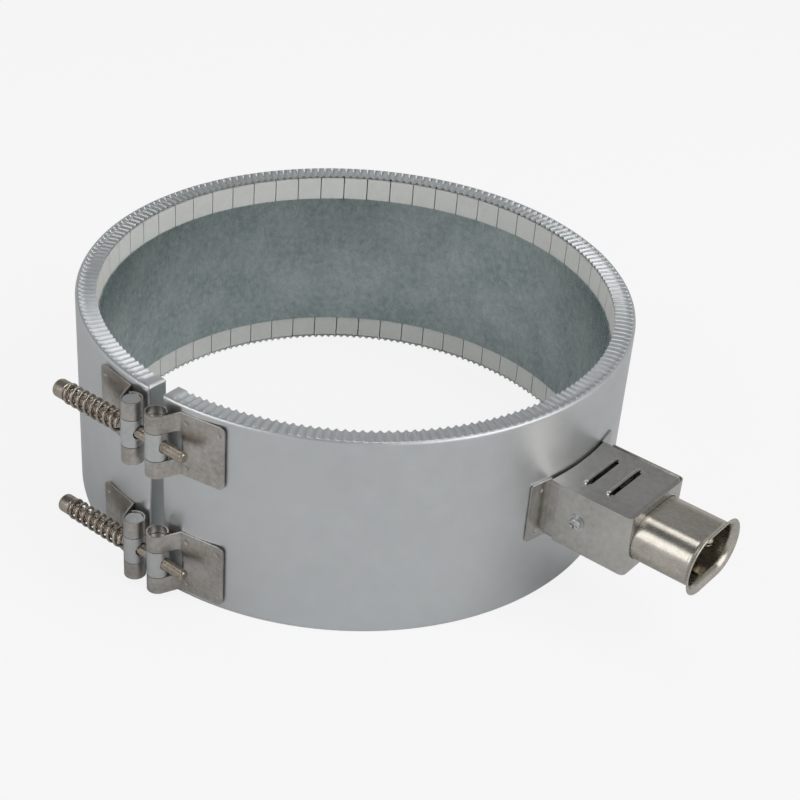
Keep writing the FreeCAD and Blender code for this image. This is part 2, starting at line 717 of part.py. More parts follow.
# ---------------------------------------------------------------- plug inlet
def plug_shell():
    """Oblong drawn shell: flange behind the front, straight wall and a flared, rolled mouth."""
    radius = shell_radius
    root = channel_front - box_sheet
    mouth = box_front + shell_length
    bell = mouth - shell_flare_length
    inner = radius - shell_wall
    flange = radius + shell_base_flange
    outer_bell = Vector(bell + shell_flare_length * 0.62, radius + shell_flare * 0.22, 0)
    inner_bell = Vector(bell + shell_flare_length * 0.72, inner + shell_flare * 0.30, 0)
    lip = Vector(mouth, radius + shell_flare, 0)
    lip_inside = Vector(mouth, radius + shell_flare - shell_wall, 0)
    edges = [
        Part.makeLine(Vector(root - shell_wall, flange, 0), Vector(root, flange, 0)),
        Part.makeLine(Vector(root, flange, 0), Vector(root, radius, 0)),
        Part.makeLine(Vector(root, radius, 0), Vector(bell, radius, 0)),
        Part.Arc(Vector(bell, radius, 0), outer_bell, lip.sub(Vector(shell_wall / 2, 0, 0))).toShape(),
        Part.Arc(lip.sub(Vector(shell_wall / 2, 0, 0)), lip.add(Vector(-0.1, -0.1, 0)), lip_inside).toShape(),
        Part.Arc(lip_inside, inner_bell, Vector(bell, inner, 0)).toShape(),
        Part.makeLine(Vector(bell, inner, 0), Vector(root - shell_wall, inner, 0)),
        Part.makeLine(Vector(root - shell_wall, inner, 0), Vector(root - shell_wall, flange, 0)),
    ]
    section = Part.Face(Part.Wire(edges))
    solids = []
    for side in (1, -1):
        face = section.copy()
        face.rotate(Vector(), Vector(1, 0, 0), -90)
        end = face.revolve(Vector(), Vector(1, 0, 0), side * 180)
        end.translate(Vector(0, side * shell_middle / 2, 0))
        solids.append(end)
        wall = section.copy()
        wall.rotate(Vector(), Vector(1, 0, 0), 90 * side)
        wall.translate(Vector(0, -shell_middle / 2, 0))
        solids.append(wall.extrude(Vector(0, shell_middle, 0)))
    return solids[0].fuse(solids[1:]).removeSplitter()


def plug_insulator():
    """Ceramic block in the shell's root, with a hole for each pin."""
    clear = 2 * (shell_wall + insulator_fit)
    block = stadium(shell_width - clear, shell_height - clear, insulator_back, insulator_length)
    for side in (-1, 1):
        middle = side * pin_spacing / 2
        block = block.cut(rod_along(Vector(1, 0, 0), stud_diameter / 2 + insulator_fit,
                                    Vector(insulator_back - 1, middle, 0), Vector(insulator_front + 1, middle, 0)))
    return block


def contact_pin():
    """Split pin with a domed tip, seated on the insulator, and a threaded stud through it."""
    tip = box_front + pin_length
    middle = pin_spacing / 2
    along = Vector(1, 0, 0)
    start = Vector(insulator_front, middle, 0)
    dome = Vector(tip - pin_diameter / 2, middle, 0)
    pin = rod_along(along, pin_diameter / 2, start, dome).fuse(Part.makeSphere(pin_diameter / 2, dome))
    stud = rod_along(along, stud_diameter / 2, Vector(insulator_back - stud_length, middle, 0), start)
    split = box_between((tip - pin_slot_depth, middle - pin_diameter, -pin_slot / 2),
                        (tip + 1, middle + pin_diameter, pin_slot / 2))
    return pin.fuse(stud).removeSplitter().cut(split)


def terminal_nut():
    """Nut that holds a feed strip on the stud of the pin on the +Y side."""
    start = Vector(insulator_back - strip_thickness - nut_thickness, pin_spacing / 2, 0)
    nut = hexagon_bar(nut_flats, nut_thickness, start, Vector(1, 0, 0))
    return nut.cut(rod_along(Vector(1, 0, 0), stud_diameter / 2 + barrel_thread_fit, start,
                             start.add(Vector(nut_thickness, 0, 0))))


def earth_contact():
    """Bowed strip along the shell's lower inner wall, riveted at its root."""
    floor = shell_wall + insulator_fit - shell_radius
    back = insulator_front + insulator_fit
    front = box_front + shell_length - shell_flare_length
    middle = (back + front) / 2
    edges = [
        Part.Arc(Vector(back, 0, floor), Vector(middle, 0, floor + earth_bow), Vector(front, 0, floor)).toShape(),
        Part.makeLine(Vector(front, 0, floor), Vector(front, 0, floor + earth_thickness)),
        Part.Arc(Vector(front, 0, floor + earth_thickness), Vector(middle, 0, floor + earth_bow + earth_thickness),
                 Vector(back, 0, floor + earth_thickness)).toShape(),
        Part.makeLine(Vector(back, 0, floor + earth_thickness), Vector(back, 0, floor)),
    ]
    strip = Part.Face(Part.Wire(edges)).extrude(Vector(0, earth_width, 0))
    strip.translate(Vector(0, -earth_width / 2, 0))
    return strip


def lead_bushing():
    """Ceramic bushing in the sheath's hole, with a slot for each feed strip."""
    back = sheath_inner - seat_gap
    front = sheath_outer + 4 * box_sheet
    body = rod_along(Vector(1, 0, 0), lead_hole_radius - box_fit, Vector(back, 0, 0), Vector(front, 0, 0))
    high = feed_width / 2 + box_fit
    for side in (1, -1):
        edges = sorted((side * (feed_offset - box_fit), side * (feed_offset + strip_thickness + box_fit)))
        body = body.cut(box_between((back, edges[0], -high), (front, edges[1], high)))
    return body


# ---------------------------------------------------------------- the whole part
def main():
    """Build and write every sub-part."""
    os.makedirs("parts", exist_ok=True)
    export(sheath(), "outer_sheath")
    export(ceramic_tiles(), "ceramic_tiles")
    export(heating_coil(), "heating_coil")
    export(insulation_blanket(), "insulation_blanket")
    export(inner_liner(), "inner_liner")
    meeting = math.degrees((feed_offset + bus_width + strip_seat) / strip_inner)
    export(bus_strip(turn_height, -90 + 2 * gap_angle, -meeting), "short_bus_strip")
    export(bus_strip(-turn_height, meeting, 270 - 2 * gap_angle), "long_bus_strip")

    lug = clamp_lug()
    clamp_pieces = {
        "right_lug": lug,
        "left_lug": lug.mirror(Vector(), Vector(1, 0, 0)),
        "right_barrel": clamp_barrel(1, right_barrel_length, barrel_thread_fit),
        "left_barrel": clamp_barrel(-1, left_barrel_length, barrel_clearance),
        "clamp_screw": clamp_screw(),
        "clamp_spring": compression_spring(),
    }
    for place, height in clamp_heights.items():
        for name, piece in clamp_pieces.items():
            placed = piece.copy()
            placed.translate(Vector(0, 0, height))
            export(placed, place + "_" + name)

    pairs = {
        "terminal_bracket": terminal_bracket(),
        "cover_screw": cover_screw(),
        "cover_washer": cover_washer(),
        "contact_pin": contact_pin(),
        "terminal_nut": terminal_nut(),
        "feed_strip": feed_strip(),
    }
    for name, piece in pairs.items():
        export(piece, "far_" + name)
        export(piece.copy().rotate(Vector(), Vector(1, 0, 0), 180), "near_" + name)
    export(terminal_cover(), "terminal_cover")
    export(terminal_channel(), "terminal_channel")
    export(plug_shell(), "plug_shell")
    export(plug_insulator(), "plug_insulator")
    export(earth_contact(), "earth_contact")
    export(lead_bushing(), "lead_bushing")


main()
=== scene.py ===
"""Looks of a split ceramic band heater: pleated sheath, sprung clamps, terminal box and plug inlet.

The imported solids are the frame. New surfaces are worked out with numpy in metres, on that frame, and
every visible solid gets a procedural finish. +Z runs up the bore, the gap faces -Y and the box +X.
"""
import logging
import math
from dataclasses import dataclass, field
from enum import Enum

import bpy
import numpy as np
from mathutils import Matrix, Vector


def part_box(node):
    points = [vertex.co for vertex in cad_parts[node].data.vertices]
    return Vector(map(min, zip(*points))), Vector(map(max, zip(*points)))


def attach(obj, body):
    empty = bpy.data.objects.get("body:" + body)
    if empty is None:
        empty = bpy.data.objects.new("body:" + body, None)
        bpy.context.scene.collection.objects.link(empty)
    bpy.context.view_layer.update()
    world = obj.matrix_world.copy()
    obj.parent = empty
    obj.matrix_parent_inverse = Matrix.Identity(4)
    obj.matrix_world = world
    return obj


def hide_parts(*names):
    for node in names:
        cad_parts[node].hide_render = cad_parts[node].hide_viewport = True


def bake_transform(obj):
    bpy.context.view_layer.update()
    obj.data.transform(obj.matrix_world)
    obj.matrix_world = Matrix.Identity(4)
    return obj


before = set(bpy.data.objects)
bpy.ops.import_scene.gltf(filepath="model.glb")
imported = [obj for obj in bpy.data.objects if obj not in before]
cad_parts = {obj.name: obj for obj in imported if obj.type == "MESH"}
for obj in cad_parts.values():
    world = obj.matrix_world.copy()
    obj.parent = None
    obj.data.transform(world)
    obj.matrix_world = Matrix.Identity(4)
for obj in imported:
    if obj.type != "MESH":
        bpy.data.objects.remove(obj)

LOG = logging.getLogger("band_heater")
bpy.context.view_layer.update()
MM = 0.001
BAND = "band"
HALF_TURN = math.pi
SOCKETS = {"FLOAT": "NodeSocketFloat", "COLOR": "NodeSocketColor"}


# ------------------------------------------------------------------------------ shared node groups
class GroupMaker:
    """Builds one shader node group with named sockets."""

    def __init__(self, name: str, inputs: dict[str, float], outputs: dict[str, str]) -> None:
        """Make the empty group.

        Args:
            name: the group's name.
            inputs: float inputs with their defaults.
            outputs: outputs with their kind, "FLOAT" or "COLOR".
        """
        self.tree = bpy.data.node_groups.new(name, "ShaderNodeTree")
        face = self.tree.interface
        face.new_socket(name="Place", in_out="INPUT", socket_type="NodeSocketVector")
        for label, value in inputs.items():
            socket = face.new_socket(name=label, in_out="INPUT", socket_type="NodeSocketFloat")
            socket.default_value = value
        for label, kind in outputs.items():
            face.new_socket(name=label, in_out="OUTPUT", socket_type=SOCKETS[kind])
        self.start = self.tree.nodes.new("NodeGroupInput")
        self.end = self.tree.nodes.new("NodeGroupOutput")

    def node(self, kind: str, **settings: object) -> bpy.types.Node:
        """Add a node and set its properties.

        Args:
            kind: the node's type.
            settings: the properties, by name.

        Returns:
            The node.
        """
        node = self.tree.nodes.new(kind)
        for label, value in settings.items():
            setattr(node, label, value)
        return node

    def link(self, source: bpy.types.NodeSocket, target: bpy.types.NodeSocket) -> None:
        """Join two sockets."""
        self.tree.links.new(source, target)

    def maths(self, operation: str, first: object, second: object = 0.0,
              clamp: bool = False) -> bpy.types.NodeSocket:
        """Add a Math node.

        Args:
            operation: the node's operation.
            first: a socket or a number.
            second: a socket or a number.
            clamp: keep the result between 0 and 1.

        Returns:
            The node's output.
        """
        node = self.node("ShaderNodeMath", operation=operation, use_clamp=clamp)
        for socket, value in zip(node.inputs, (first, second)):
            if isinstance(value, bpy.types.NodeSocket):
                self.link(value, socket)
            else:
                socket.default_value = value
        return node.outputs[0]


def rolled_grain() -> bpy.types.NodeTree:
    """Fine rolling lines: noise whose place is multiplied by a stretch along each axis.

    Returns:
        The group, with the lines' height from 0 to 1.
    """
    inputs = {"Scale": 900.0, "Stretch X": 1.0, "Stretch Y": 1.0, "Stretch Z": 0.05}
    made = GroupMaker("rolled_grain", inputs, {"Value": "FLOAT"})
    combine = made.node("ShaderNodeCombineXYZ")
    for axis in "XYZ":
        made.link(made.start.outputs[f"Stretch {axis}"], combine.inputs[axis])
    scaled = made.node("ShaderNodeVectorMath", operation="MULTIPLY")
    made.link(made.start.outputs["Place"], scaled.inputs[0])
    made.link(combine.outputs[0], scaled.inputs[1])
    noise = made.node("ShaderNodeTexNoise")
    noise.inputs["Detail"].default_value = 4.0
    noise.inputs["Roughness"].default_value = 0.6
    made.link(scaled.outputs[0], noise.inputs["Vector"])
    made.link(made.start.outputs["Scale"], noise.inputs["Scale"])
    made.link(noise.outputs["Fac"], made.end.inputs["Value"])
    return made.tree


def cloudy_stain() -> bpy.types.NodeTree:
    """Soft blotches: two sizes of noise multiplied, spread about their mean by a contrast.

    Returns:
        The group, with the blotches' mask from 0 to 1.
    """
    fine_ratio, mean, middle = 7.3, 0.25, 0.5
    made = GroupMaker("cloudy_stain", {"Scale": 30.0, "Contrast": 2.0}, {"Mask": "FLOAT"})
    coarse = made.node("ShaderNodeTexNoise")
    coarse.inputs["Detail"].default_value = 3.0
    fine = made.node("ShaderNodeTexNoise")
    fine.inputs["Detail"].default_value = 5.0
    for noise in (coarse, fine):
        made.link(made.start.outputs["Place"], noise.inputs["Vector"])
    made.link(made.start.outputs["Scale"], coarse.inputs["Scale"])
    made.link(made.maths("MULTIPLY", made.start.outputs["Scale"], fine_ratio), fine.inputs["Scale"])
    both = made.maths("MULTIPLY", coarse.outputs["Fac"], fine.outputs["Fac"])
    centred = made.maths("SUBTRACT", both, mean)
    spread = made.maths("MULTIPLY", centred, made.start.outputs["Contrast"])
    made.link(made.maths("ADD", spread, middle, clamp=True), made.end.inputs["Mask"])
    return made.tree


def fine_speckle() -> bpy.types.NodeTree:
    """Specks and pits: small cells, each with its own shade, highest at its middle.

    Returns:
        The group, with each cell's shade and its height, both from 0 to 1.
    """
    made = GroupMaker("fine_speckle", {"Scale": 1500.0}, {"Mask": "FLOAT", "Depth": "FLOAT"})
    cells = made.node("ShaderNodeTexVoronoi")
    made.link(made.start.outputs["Place"], cells.inputs["Vector"])
    made.link(made.start.outputs["Scale"], cells.inputs["Scale"])
    split = made.node("ShaderNodeSeparateColor")
    made.link(cells.outputs["Color"], split.inputs[0])
    made.link(split.outputs[0], made.end.inputs["Mask"])
    made.link(made.maths("SUBTRACT", 1.0, cells.outputs["Distance"], clamp=True), made.end.inputs["Depth"])
    return made.tree


class Effects:
    """The shared node groups, each built once."""

    made: dict[str, bpy.types.NodeTree] = {}
    makers = {"rolled_grain": rolled_grain, "cloudy_stain": cloudy_stain, "fine_speckle": fine_speckle}

    @classmethod
    def tree(cls, name: str) -> bpy.types.NodeTree:
        """The group of a name, built when it is first asked for.

        Args:
            name: the group's name.

        Returns:
            The group.
        """
        if name not in cls.made:
            cls.made[name] = cls.makers[name]()
        return cls.made[name]


# ------------------------------------------------------------------------------ finishes
class MaterialMaker:
    """A material with a Principled shader, and helpers that add nodes to it."""

    def __init__(self, name: str) -> None:
        """Make the material and keep its shader.

        Args:
            name: the material's name.
        """
        self.material = bpy.data.materials.new(name)
        self.material.use_nodes = True
        self.tree = self.material.node_tree
        self.shader = self.tree.nodes["Principled BSDF"]
        self.place = self.tree.nodes.new("ShaderNodeTexCoord").outputs["Object"]

    def effect(self, name: str, **values: float) -> bpy.types.Node:
        """Place a shared effect.

        Args:
            name: the effect's name.
            values: its inputs, with underscores for spaces.

        Returns:
            The placed group.
        """
        node = self.tree.nodes.new("ShaderNodeGroup")
        node.node_tree = Effects.tree(name)
        self.tree.links.new(self.place, node.inputs["Place"])
        for label, value in values.items():
            node.inputs[label.replace("_", " ")].default_value = value
        return node

    def blend(self, mask: bpy.types.NodeSocket, first: object, second: object) -> bpy.types.NodeSocket:
        """Mix two colours.

        Args:
            mask: 0 gives the first colour and 1 the second.
            first: a colour or a socket.
            second: a colour or a socket.

        Returns:
            The mixed colour.
        """
        node = self.tree.nodes.new("ShaderNodeMix")
        node.data_type = "RGBA"
        self.tree.links.new(mask, node.inputs[0])
        for socket, value in ((node.inputs[6], first), (node.inputs[7], second)):
            if isinstance(value, bpy.types.NodeSocket):
                self.tree.links.new(value, socket)
            else:
                socket.default_value = (*value, 1.0)
        return node.outputs[2]

    def between(self, mask: bpy.types.NodeSocket, low: float, high: float) -> bpy.types.NodeSocket:
        """Spread a mask between two numbers.

        Args:
            mask: runs from 0 to 1.
            low: the result where the mask is 0.
            high: the result where the mask is 1.

        Returns:
            The result.
        """
        node = self.tree.nodes.new("ShaderNodeMapRange")
        self.tree.links.new(mask, node.inputs["Value"])
        node.inputs["To Min"].default_value = low
        node.inputs["To Max"].default_value = high
        return node.outputs[0]

    def bump(self, heights: list[tuple[bpy.types.NodeSocket, float]], depth: float) -> None:
        """Bump the surface by a sum of heights.

        Args:
            heights: each height's socket, with its share.
            depth: full depth in metres.
        """
        total = None
        for socket, share in heights:
            scaled = self.tree.nodes.new("ShaderNodeMath")
            scaled.operation = "MULTIPLY_ADD"
            self.tree.links.new(socket, scaled.inputs[0])
            scaled.inputs[1].default_value = share
            if total is not None:
                self.tree.links.new(total, scaled.inputs[2])
            else:
                scaled.inputs[2].default_value = 0.0
            total = scaled.outputs[0]
        node = self.tree.nodes.new("ShaderNodeBump")
        node.inputs["Distance"].default_value = depth
        node.inputs["Strength"].default_value = 1.0
        self.tree.links.new(total, node.inputs["Height"])
        self.tree.links.new(node.outputs["Normal"], self.shader.inputs["Normal"])

    def feed(self, socket: bpy.types.NodeSocket, name: str) -> None:
        """Drive the shader's input of a name."""
        self.tree.links.new(socket, self.shader.inputs[name])


@dataclass(frozen=True)
class SheetMetal:
    """Rolled or plated metal sheet.

    Attributes:
        name: the material's name.
        light: its colour where it is clean.
        dark: its colour where it is stained.
        smooth: its lowest roughness.
        rough: its highest roughness.
        grain: how far the rolling lines stretch along X, Y and Z: 1 is not at all.
        grain_scale: rolling lines per metre, roughly.
        stain_scale: blotches per metre, roughly.
        stain_contrast: how sharply blotches show.
        speckle_scale: specks per metre.
        speckle: share of the specks in the colour.
        depth: depth of the relief, in metres.
    """

    name: str
    light: tuple[float, float, float]
    dark: tuple[float, float, float]
    smooth: float = 0.25
    rough: float = 0.45
    grain: tuple[float, float, float] = (1.0, 1.0, 0.06)
    grain_scale: float = 900.0
    stain_scale: float = 25.0
    stain_contrast: float = 2.5
    speckle_scale: float = 1800.0
    speckle: float = 0.25
    depth: float = 0.00002

    def build(self) -> bpy.types.Material:
        """Make the material: stains shade the colour, rolling lines the roughness and the relief.

        Returns:
            The material.
        """
        line_share, pit_share = 0.7, 0.3
        made = MaterialMaker(self.name)
        stains = made.effect("cloudy_stain", Scale=self.stain_scale, Contrast=self.stain_contrast)
        speck = made.effect("fine_speckle", Scale=self.speckle_scale)
        x, y, z = self.grain
        lines = made.effect("rolled_grain", Scale=self.grain_scale, Stretch_X=x, Stretch_Y=y, Stretch_Z=z)
        colour = made.blend(stains.outputs["Mask"], self.light, self.dark)
        worn = made.blend(made.between(speck.outputs["Mask"], 0.0, self.speckle), colour, self.dark)
        made.feed(worn, "Base Color")
        made.feed(made.between(lines.outputs["Value"], self.smooth, self.rough), "Roughness")
        made.shader.inputs["Metallic"].default_value = 1.0
        heights = [(lines.outputs["Value"], line_share), (speck.outputs["Depth"], pit_share)]
        made.bump(heights, self.depth)
        return made.material


@dataclass(frozen=True)
class FiredCeramic:
    """Matt fired ceramic with fine grit and faint stains.

    Attributes:
        name: the material's name.
        light: the body's colour.
        dark: the stains' colour.
        roughness: its mean roughness.
        depth: depth of the grit, in metres.
        stain_scale: stains per metre, roughly.
        stain_contrast: how sharply stains show.
        grit_scale: grains per metre.
        unevenness: how far the roughness strays from its mean.
    """

    name: str
    light: tuple[float, float, float]
    dark: tuple[float, float, float]
    roughness: float = 0.72
    depth: float = 0.00005
    stain_scale: float = 60.0
    stain_contrast: float = 2.2
    grit_scale: float = 2600.0
    unevenness: float = 0.08

    def build(self) -> bpy.types.Material:
        """Make the material: stains shade the colour, grit the roughness and the relief.

        Returns:
            The material.
        """
        made = MaterialMaker(self.name)
        stains = made.effect("cloudy_stain", Scale=self.stain_scale, Contrast=self.stain_contrast)
        grit = made.effect("fine_speckle", Scale=self.grit_scale)
        made.feed(made.blend(stains.outputs["Mask"], self.light, self.dark), "Base Color")
        smooth, rough = self.roughness - self.unevenness, self.roughness + self.unevenness
        made.feed(made.between(grit.outputs["Mask"], smooth, rough), "Roughness")
        made.bump([(grit.outputs["Depth"], 1.0)], self.depth)
        return made.material


class Finish(Enum):
    """The finishes on this heater."""

    SHEATH = SheetMetal("satin_aluminised_sheet", (0.76, 0.78, 0.79), (0.66, 0.68, 0.69), 0.36, 0.46,
                        grain=(1.0, 1.0, 0.25), grain_scale=1400.0, stain_scale=14.0, stain_contrast=1.6,
                        speckle_scale=2600.0, speckle=0.20, depth=0.000012)
    LINER = SheetMetal("mottled_galvanised_sheet", (0.60, 0.66, 0.66), (0.38, 0.45, 0.45), 0.20, 0.34,
                       grain=(1.0, 1.0, 0.5), grain_scale=500.0, stain_scale=42.0, stain_contrast=3.6,
                       speckle_scale=900.0, speckle=0.30, depth=0.00001)
    LUG = SheetMetal("pickled_nickel_steel_sheet", (0.66, 0.64, 0.61), (0.40, 0.37, 0.34), 0.22, 0.40,
                     grain=(1.0, 1.0, 1.0), grain_scale=1100.0, stain_scale=70.0, stain_contrast=3.0,
                     speckle_scale=2200.0, speckle=0.30, depth=0.00002)
    BARREL = SheetMetal("turned_zinc_steel", (0.74, 0.75, 0.74), (0.55, 0.56, 0.56), 0.30, 0.42,
                        grain=(0.2, 0.2, 3.0), grain_scale=900.0, stain_scale=90.0, stain_contrast=1.6)
    SCREW = SheetMetal("plated_screw_steel", (0.70, 0.64, 0.56), (0.30, 0.25, 0.20), 0.14, 0.30,
                       grain=(3.0, 0.3, 0.3), grain_scale=700.0, stain_scale=120.0, stain_contrast=2.6)
    SPRING = SheetMetal("drawn_spring_wire", (0.72, 0.66, 0.58), (0.26, 0.21, 0.17), 0.12, 0.28,
                        grain=(1.0, 1.0, 1.0), grain_scale=700.0, stain_scale=150.0, stain_contrast=3.0)
    BOX = SheetMetal("brushed_box_steel", (0.70, 0.69, 0.66), (0.46, 0.44, 0.41), 0.14, 0.30,
                     grain=(0.12, 1.0, 1.0), grain_scale=1300.0, stain_scale=45.0, stain_contrast=2.4)
    SHELL = SheetMetal("drawn_nickel_shell", (0.70, 0.67, 0.61), (0.48, 0.44, 0.38), 0.20, 0.34,
                       grain=(0.15, 1.0, 1.0), grain_scale=900.0, stain_scale=60.0, stain_contrast=2.2)
    PIN = SheetMetal("nickelled_brass_pin", (0.78, 0.72, 0.60), (0.50, 0.43, 0.32), 0.14, 0.26,
                     grain=(0.2, 1.0, 1.0), grain_scale=900.0, stain_scale=90.0, stain_contrast=2.0)
    STRIP = SheetMetal("oxidised_strip", (0.55, 0.50, 0.42), (0.30, 0.25, 0.20), 0.30, 0.5)
    TILE = FiredCeramic("fired_tile_ceramic", (0.90, 0.90, 0.87), (0.80, 0.80, 0.76))
    INSULATOR = FiredCeramic("glazed_inlet_ceramic", (0.55, 0.50, 0.42), (0.36, 0.31, 0.25), 0.5)
    FIBRE = FiredCeramic("needled_ceramic_fibre", (0.86, 0.85, 0.82), (0.72, 0.70, 0.66), 0.9, 0.0003)
    WIRE = SheetMetal("oxidised_resistance_wire", (0.22, 0.20, 0.19), (0.10, 0.09, 0.09), 0.4, 0.6)

    def material(self) -> bpy.types.Material:
        """The finish's material, built when it is first asked for."""
        found = bpy.data.materials.get(self.value.name)
        return found or self.value.build()


# ------------------------------------------------------------------------------ meshes
def dress(piece: bpy.types.Object, finish: Finish) -> bpy.types.Object:
    """Give every material slot of a piece one finish.

    Args:
        piece: the piece.
        finish: its finish.

    Returns:
        The piece.
    """
    slots = piece.data.materials
    if len(slots) == 0:
        slots.append(finish.material())
    for k in range(len(slots)):
        slots[k] = finish.material()
    return piece


def dress_nodes(finish: Finish, *nodes: str) -> None:
    """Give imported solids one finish.

    Args:
        finish: the finish.
        nodes: the solids' names.
    """
    for node in nodes:
        dress(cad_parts[node], finish)
        LOG.info("solid %s is finished as %s", node, finish.name.lower())


def grid_faces(rows: int, columns: int, wrap_rows: bool, wrap_columns: bool, start: int = 0) -> np.ndarray:
    """Quads of a grid of points, numbered row by row.

    Args:
        rows: number of rows.
        columns: points in each row.
        wrap_rows: join the last row to the first.
        wrap_columns: join each row's last point to its first.
        start: number of the grid's first point.

    Returns:
        An array of four point numbers a quad.
    """
    r = np.arange(rows if wrap_rows else rows - 1)
    c = np.arange(columns if wrap_columns else columns - 1)
    r, c = [a.ravel() for a in np.meshgrid(r, c, indexing="ij")]
    r2, c2 = (r + 1) % rows, (c + 1) % columns
    corners = [r * columns + c, r * columns + c2, r2 * columns + c2, r2 * columns + c]
    return np.stack(corners, axis=1) + start


def make_mesh(name: str, points: np.ndarray, quads: np.ndarray, polygons: list[list[int]],
              sharp_angle: float = 40.0) -> bpy.types.Object:
    """Mesh object from points in metres, smooth up to an angle between faces.

    Args:
        name: the object's name.
        points: an array of places.
        quads: an array of four point numbers a face.
        polygons: further faces of any number of points.
        sharp_angle: edges sharper than this many degrees stay sharp.

    Returns:
        The object, in the scene.
    """
    mesh = bpy.data.meshes.new(name)
    mesh.from_pydata(points.reshape(-1, 3).tolist(), [], quads.tolist() + polygons)
    mesh.validate()
    mesh.polygons.foreach_set("use_smooth", np.ones(len(mesh.polygons), dtype=bool))
    mesh.set_sharp_from_angle(angle=math.radians(sharp_angle))
    piece = bpy.data.objects.new(name, mesh)
    bpy.context.scene.collection.objects.link(piece)
    return piece


# ------------------------------------------------------------------------------ the band
@dataclass
class Band:
    """Sheath, liner, tiles and what lies between them.

    Attributes:
        wall: the sheath's thickness.
        lip_radius: radius of the rims' inner edges.
        corner: radius of the corner between a rim and the wall.
        pleat_spacing: from one pleat to the next.
        pleat_depth: height of a pleat.
        land: plain stretch at each end.
        fold: radius of the folded ends.
        lip_drop: how far the rim bends down at its lip.
        hem: from the lip in to the sheet's inner side.
        half_gap: half the gap between the band's ends.
        run_in: from the rim's shoulder in to where the pleats have their full depth.
        run_out: from the corner down to the wall's first plain line.
        steps: points across a pleat.
    """

    wall: float = 0.5 * MM
    lip_radius: float = 120.9 * MM
    corner: float = 1.6 * MM
    pleat_spacing: float = 3.86 * MM
    pleat_depth: float = 1.2 * MM
    land: float = 5.5 * MM
    fold: float = 1.3 * MM
    lip_drop: float = 0.12 * MM
    hem: float = 1.0 * MM
    half_gap: float = 3.8 * MM
    run_in: float = 0.9 * MM
    run_out: float = 2.6 * MM
    steps: int = 12
    radius: float = field(init=False)
    half_height: float = field(init=False)
    gap_angle: float = field(init=False)

    def __post_init__(self) -> None:
        """Read the sheath's size from the frame."""
        low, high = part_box("outer_sheath")
        self.radius = (high[0] - low[0]) / 2
        self.half_height = high[2]
        self.gap_angle = self.half_gap / self.radius

    def columns(self) -> tuple[np.ndarray, np.ndarray, np.ndarray]:
        """Where the sheath's points stand round the band.

        Returns:
            The angles, each angle's pleat height from 0 in a valley to 1 on a ridge, and its distance
            from the nearer end of the band. A ridge is a raised cosine, a little narrowed and skewed.
        """
        skew, narrowing = 0.07, 0.8
        start = -HALF_TURN / 2 + self.gap_angle
        span = 2 * HALF_TURN - 2 * self.gap_angle
        land = self.land / self.radius
        count = round((span - 2 * land) * self.radius / self.pleat_spacing)
        near_end = np.linspace(0.0, 1.0, 6) ** 2 * self.fold / self.radius
        turn = np.linspace(0.0, 1.0, count * self.steps + 1)
        angles = np.concatenate([near_end, land + turn * (span - 2 * land), (span - near_end)[::-1]])
        phase = turn * count
        skewed = phase + skew * np.sin(2 * HALF_TURN * phase)
        ridge = (0.5 + 0.5 * np.cos(2 * HALF_TURN * skewed)) ** narrowing
        flat = np.ones(len(near_end))
        height = np.concatenate([flat, ridge, flat])
        return start + angles, height, np.minimum(angles, span - angles) * self.radius

    def outline(self) -> tuple[np.ndarray, np.ndarray, np.ndarray]:
        """Upper half of the sheath's section, from under the lip over the rim and down the wall.

        Returns:
            The points' radius and height, the way into the sheet at each, and how much of the
            pleats' depth each takes.
        """
        top, out, bend = self.half_height, self.radius, self.corner
        rim = np.append(np.linspace(self.lip_radius, out - bend - self.run_in, 4), out - bend)
        turn = np.radians([22.5, 45.0, 67.5, 90.0])
        drop = top - bend - np.array([0.35, 0.75, 1.0, 1.15]) * self.run_out
        lip = [self.lip_radius + 0.2 * MM, self.lip_radius]
        radii = np.concatenate([lip, rim, out - bend + bend * np.sin(turn), np.full(4, out)])
        heights = np.concatenate([[top - self.wall, top - self.wall * 0.8], np.full(5, top),
                                  top - bend + bend * np.cos(turn), drop])
        heights[2] -= self.lip_drop
        inward = np.zeros((len(radii), 2))
        inward[:7, 1] = -1.0
        inward[7:11] = np.stack([-np.sin(turn), -np.cos(turn)], axis=1)
        inward[11:, 0] = -1.0
        share = np.concatenate([np.ones(6), [0.22, 0.08, 0.02], np.zeros(6)])
        return np.stack([radii, heights], axis=1), inward, share

    def sheath(self) -> bpy.types.Object:
        """Pleated sheath as one closed sheet.

        A point's place is its place in the section, moved into the sheet by the pleat's depth times how far
        the angle is from a ridge, and times the section point's share. Near each end the section shrinks
        along a quarter circle, so that the end is folded over, and a flat plate closes it.

        Returns:
            The sheath.
        """
        angles, height, from_end = self.columns()
        place, inward, share = self.outline()
        sink = self.pleat_depth * share[None, :] * (1.0 - height[:, None])
        near = np.clip(1.0 - from_end / self.fold, 0.0, 1.0)
        shrink = self.fold * (1.0 - np.sqrt(1.0 - near ** 2))[:, None]
        towards = inward.copy()
        towards[:2] = 0.0
        section = place[None] + inward[None] * sink[..., None] + towards[None] * shrink[..., None]
        lower = section[:, ::-1] * np.array([1.0, -1.0])
        outer = np.concatenate([section, lower], axis=1)
        inner_height = self.half_height - self.pleat_depth - self.wall
        inner_wall = self.radius - self.wall
        inner_lip = self.lip_radius + self.hem
        inner = np.array([[inner_lip, inner_height], [inner_wall - self.corner, inner_height],
                          [inner_wall, inner_height - self.corner], [inner_wall, -inner_height + self.corner],
                          [inner_wall - self.corner, -inner_height], [inner_lip, -inner_height]])
        plate = self.wall / self.radius
        inner_angles = np.clip(angles, angles[0] + plate, angles[-1] - plate)
        inner = np.broadcast_to(inner, (len(angles), 6, 2))

